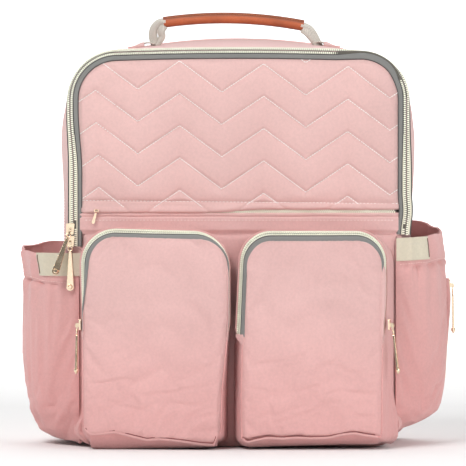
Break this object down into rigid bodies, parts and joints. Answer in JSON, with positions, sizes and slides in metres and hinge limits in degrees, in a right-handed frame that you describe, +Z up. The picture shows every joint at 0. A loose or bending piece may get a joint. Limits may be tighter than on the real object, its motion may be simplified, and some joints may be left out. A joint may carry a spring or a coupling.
{
  "type": "backpack diaper bag",
  "caption": "Upright padded backpack with a zipped quilted lid, two zipped front pockets, elastic side pockets, a leather-wrapped top handle and shoulder straps.",
  "frame": {"origin": "middle of the base, on the surface that the bag stands on", "axes": "+Z up, the front faces -Y, +X to the right seen from the front, +Y towards the wearer's back"},
  "size_m": [0.4338, 0.1952, 0.4356],
  "materials": {
    "buckle": "moulded",
    "elastic_mesh": "knit",
    "foam": "open-cell foam",
    "gold_metal": "polished pale gold",
    "hem_fabric": "gathered over elastic",
    "leather": "smooth, slight sheen",
    "lining_fabric": "matte",
    "pink_fabric": "matte woven",
    "pink_fabric_dark": "matte woven",
    "stiffener": "matte",
    "tab_webbing": "plain weave",
    "webbing": "herringbone weave",
    "zip_cream": "moulded coil"
  },
  "bodies": {
    "bag": {"back_foam": "foam", "back_panel": "pink_fabric_dark", "base_board": "stiffener", "base_panel": "pink_fabric", "front_lower_panel": "pink_fabric", "gusset": "pink_fabric", "handle_anchor_patches": "pink_fabric_dark", "handle_anchor_webbing": "webbing", "inner_pocket": "elastic_mesh", "left_pocket_front": "pink_fabric", "left_pocket_gusset": "pink_fabric", "left_pocket_gusset_teeth": "zip_cream", "lining": "lining_fabric", "main_lower_slider": "gold_metal", "main_zip_outer_half": "zip_cream", "right_pocket_front": "pink_fabric", "right_pocket_gusset": "pink_fabric", "right_pocket_gusset_teeth": "zip_cream", "side_pocket_left": "pink_fabric_dark", "side_pocket_left_hem": "hem_fabric", "side_pocket_right": "pink_fabric_dark", "side_pocket_right_hem": "hem_fabric", "side_tab_left": "tab_webbing", "side_tab_right": "tab_webbing", "side_zip": "zip_cream", "strap_left_anchor": "pink_fabric_dark", "strap_left_webbing": "webbing", "strap_right_anchor": "pink_fabric_dark", "strap_right_webbing": "webbing", "strap_yoke": "pink_fabric_dark"},
    "lid": {"lid_quilted_panel": "pink_fabric", "lid_lower_strip": "pink_fabric", "lid_lining": "lining_fabric", "front_zip": "zip_cream", "main_zip_lid_half": "zip_cream"},
    "main_slider_upper": {"main_upper_slider": "gold_metal"},
    "main_pull_upper": {"main_upper_pull": "gold_metal"},
    "main_pull_lower": {"main_lower_pull": "gold_metal"},
    "front_slider": {"front_zip_slider": "gold_metal"},
    "front_pull": {"front_zip_pull": "gold_metal"},
    "left_flap": {"left_pocket_flap": "pink_fabric", "left_pocket_flap_teeth": "zip_cream"},
    "left_slider": {"left_pocket_slider": "gold_metal"},
    "left_pull": {"left_pocket_pull": "gold_metal"},
    "right_flap": {"right_pocket_flap": "pink_fabric", "right_pocket_flap_teeth": "zip_cream"},
    "right_slider": {"right_pocket_slider": "gold_metal"},
    "right_pull": {"right_pocket_pull": "gold_metal"},
    "side_slider": {"side_zip_slider": "gold_metal"},
    "side_pull": {"side_zip_pull": "gold_metal"},
    "handle": {"handle_grip": "leather", "handle_webbing": "webbing"},
    "strap_left": {"strap_left_pad": "pink_fabric_dark", "strap_left_loop": "webbing", "strap_left_ladder_lock": "buckle"},
    "strap_right": {"strap_right_pad": "pink_fabric_dark", "strap_right_loop": "webbing", "strap_right_ladder_lock": "buckle"}
  },
  "joints": [
    {"name": "lid_fold", "type": "hinge", "parent": "bag", "child": "lid", "pos_m": [0, -0.067, 0.22], "axis": [1, 0, 0], "range_deg": [0, 80]},
    {"name": "main_slider_upper_slide", "type": "slide", "parent": "bag", "child": "main_slider_upper", "axis": [0, 0, 1], "range_m": [0, 0.114]},
    {"name": "main_pull_upper_swing", "type": "hinge", "parent": "main_slider_upper", "child": "main_pull_upper", "pos_m": [-0.1672, -0.0714, 0.2172], "axis": [-1, 0, 0], "range_deg": [0, 115]},
    {"name": "main_pull_lower_swing", "type": "hinge", "parent": "bag", "child": "main_pull_lower", "pos_m": [-0.1672, -0.0714, 0.2046], "axis": [-1, 0, 0], "range_deg": [0, 50]},
    {"name": "front_slider_slide", "type": "slide", "parent": "lid", "child": "front_slider", "axis": [1, 0, 0], "range_m": [0, 0.28]},
    {"name": "front_pull_swing", "type": "hinge", "parent": "front_slider", "child": "front_pull", "pos_m": [-0.141, -0.0704, 0.236], "axis": [-1, 0, 0], "range_deg": [0, 140]},
    {"name": "left_pocket_fold", "type": "hinge", "parent": "bag", "child": "left_flap", "pos_m": [-0.081, -0.1122, 0.108], "axis": [1, 0, 0], "range_deg": [0, 85]},
    {"name": "left_slider_slide", "type": "slide", "parent": "bag", "child": "left_slider", "axis": [0, 0, 1], "range_m": [0, 0.058]},
    {"name": "left_pull_swing", "type": "hinge", "parent": "left_slider", "child": "left_pull", "pos_m": [-0.15943, -0.10566, 0.123], "axis": [0.0764, 0.9971, 0], "range_deg": [0, 140]},
    {"name": "right_pocket_fold", "type": "hinge", "parent": "bag", "child": "right_flap", "pos_m": [0.0725, -0.1122, 0.108], "axis": [1, 0, 0], "range_deg": [0, 85]},
    {"name": "right_slider_slide", "type": "slide", "parent": "bag", "child": "right_slider", "axis": [0, 0, 1], "range_m": [0, 0.056]},
    {"name": "right_pull_swing", "type": "hinge", "parent": "right_slider", "child": "right_pull", "pos_m": [0.15384, -0.1068, 0.123], "axis": [-0.1829, -0.9831, 0], "range_deg": [0, 140]},
    {"name": "side_slider_slide", "type": "slide", "parent": "bag", "child": "side_slider", "axis": [0, 0, -1], "range_m": [0, 0.085]},
    {"name": "side_pull_swing", "type": "hinge", "parent": "side_slider", "child": "side_pull", "pos_m": [0.2178, -0.006, 0.159], "axis": [0, -1, 0], "range_deg": [0, 140]},
    {"name": "handle_swing", "type": "hinge", "parent": "bag", "child": "handle", "pos_m": [-0.004, 0.02, 0.4076], "axis": [1, 0, 0], "range_deg": [-60, 60]},
    {"name": "strap_left_swing", "type": "hinge", "parent": "bag", "child": "strap_left", "pos_m": [-0.05, 0.0772, 0.386], "axis": [1, 0, 0], "range_deg": [0, 12]},
    {"name": "strap_right_swing", "type": "hinge", "parent": "bag", "child": "strap_right", "pos_m": [0.05, 0.0772, 0.386], "axis": [1, 0, 0], "range_deg": [0, 12]}
  ]
}
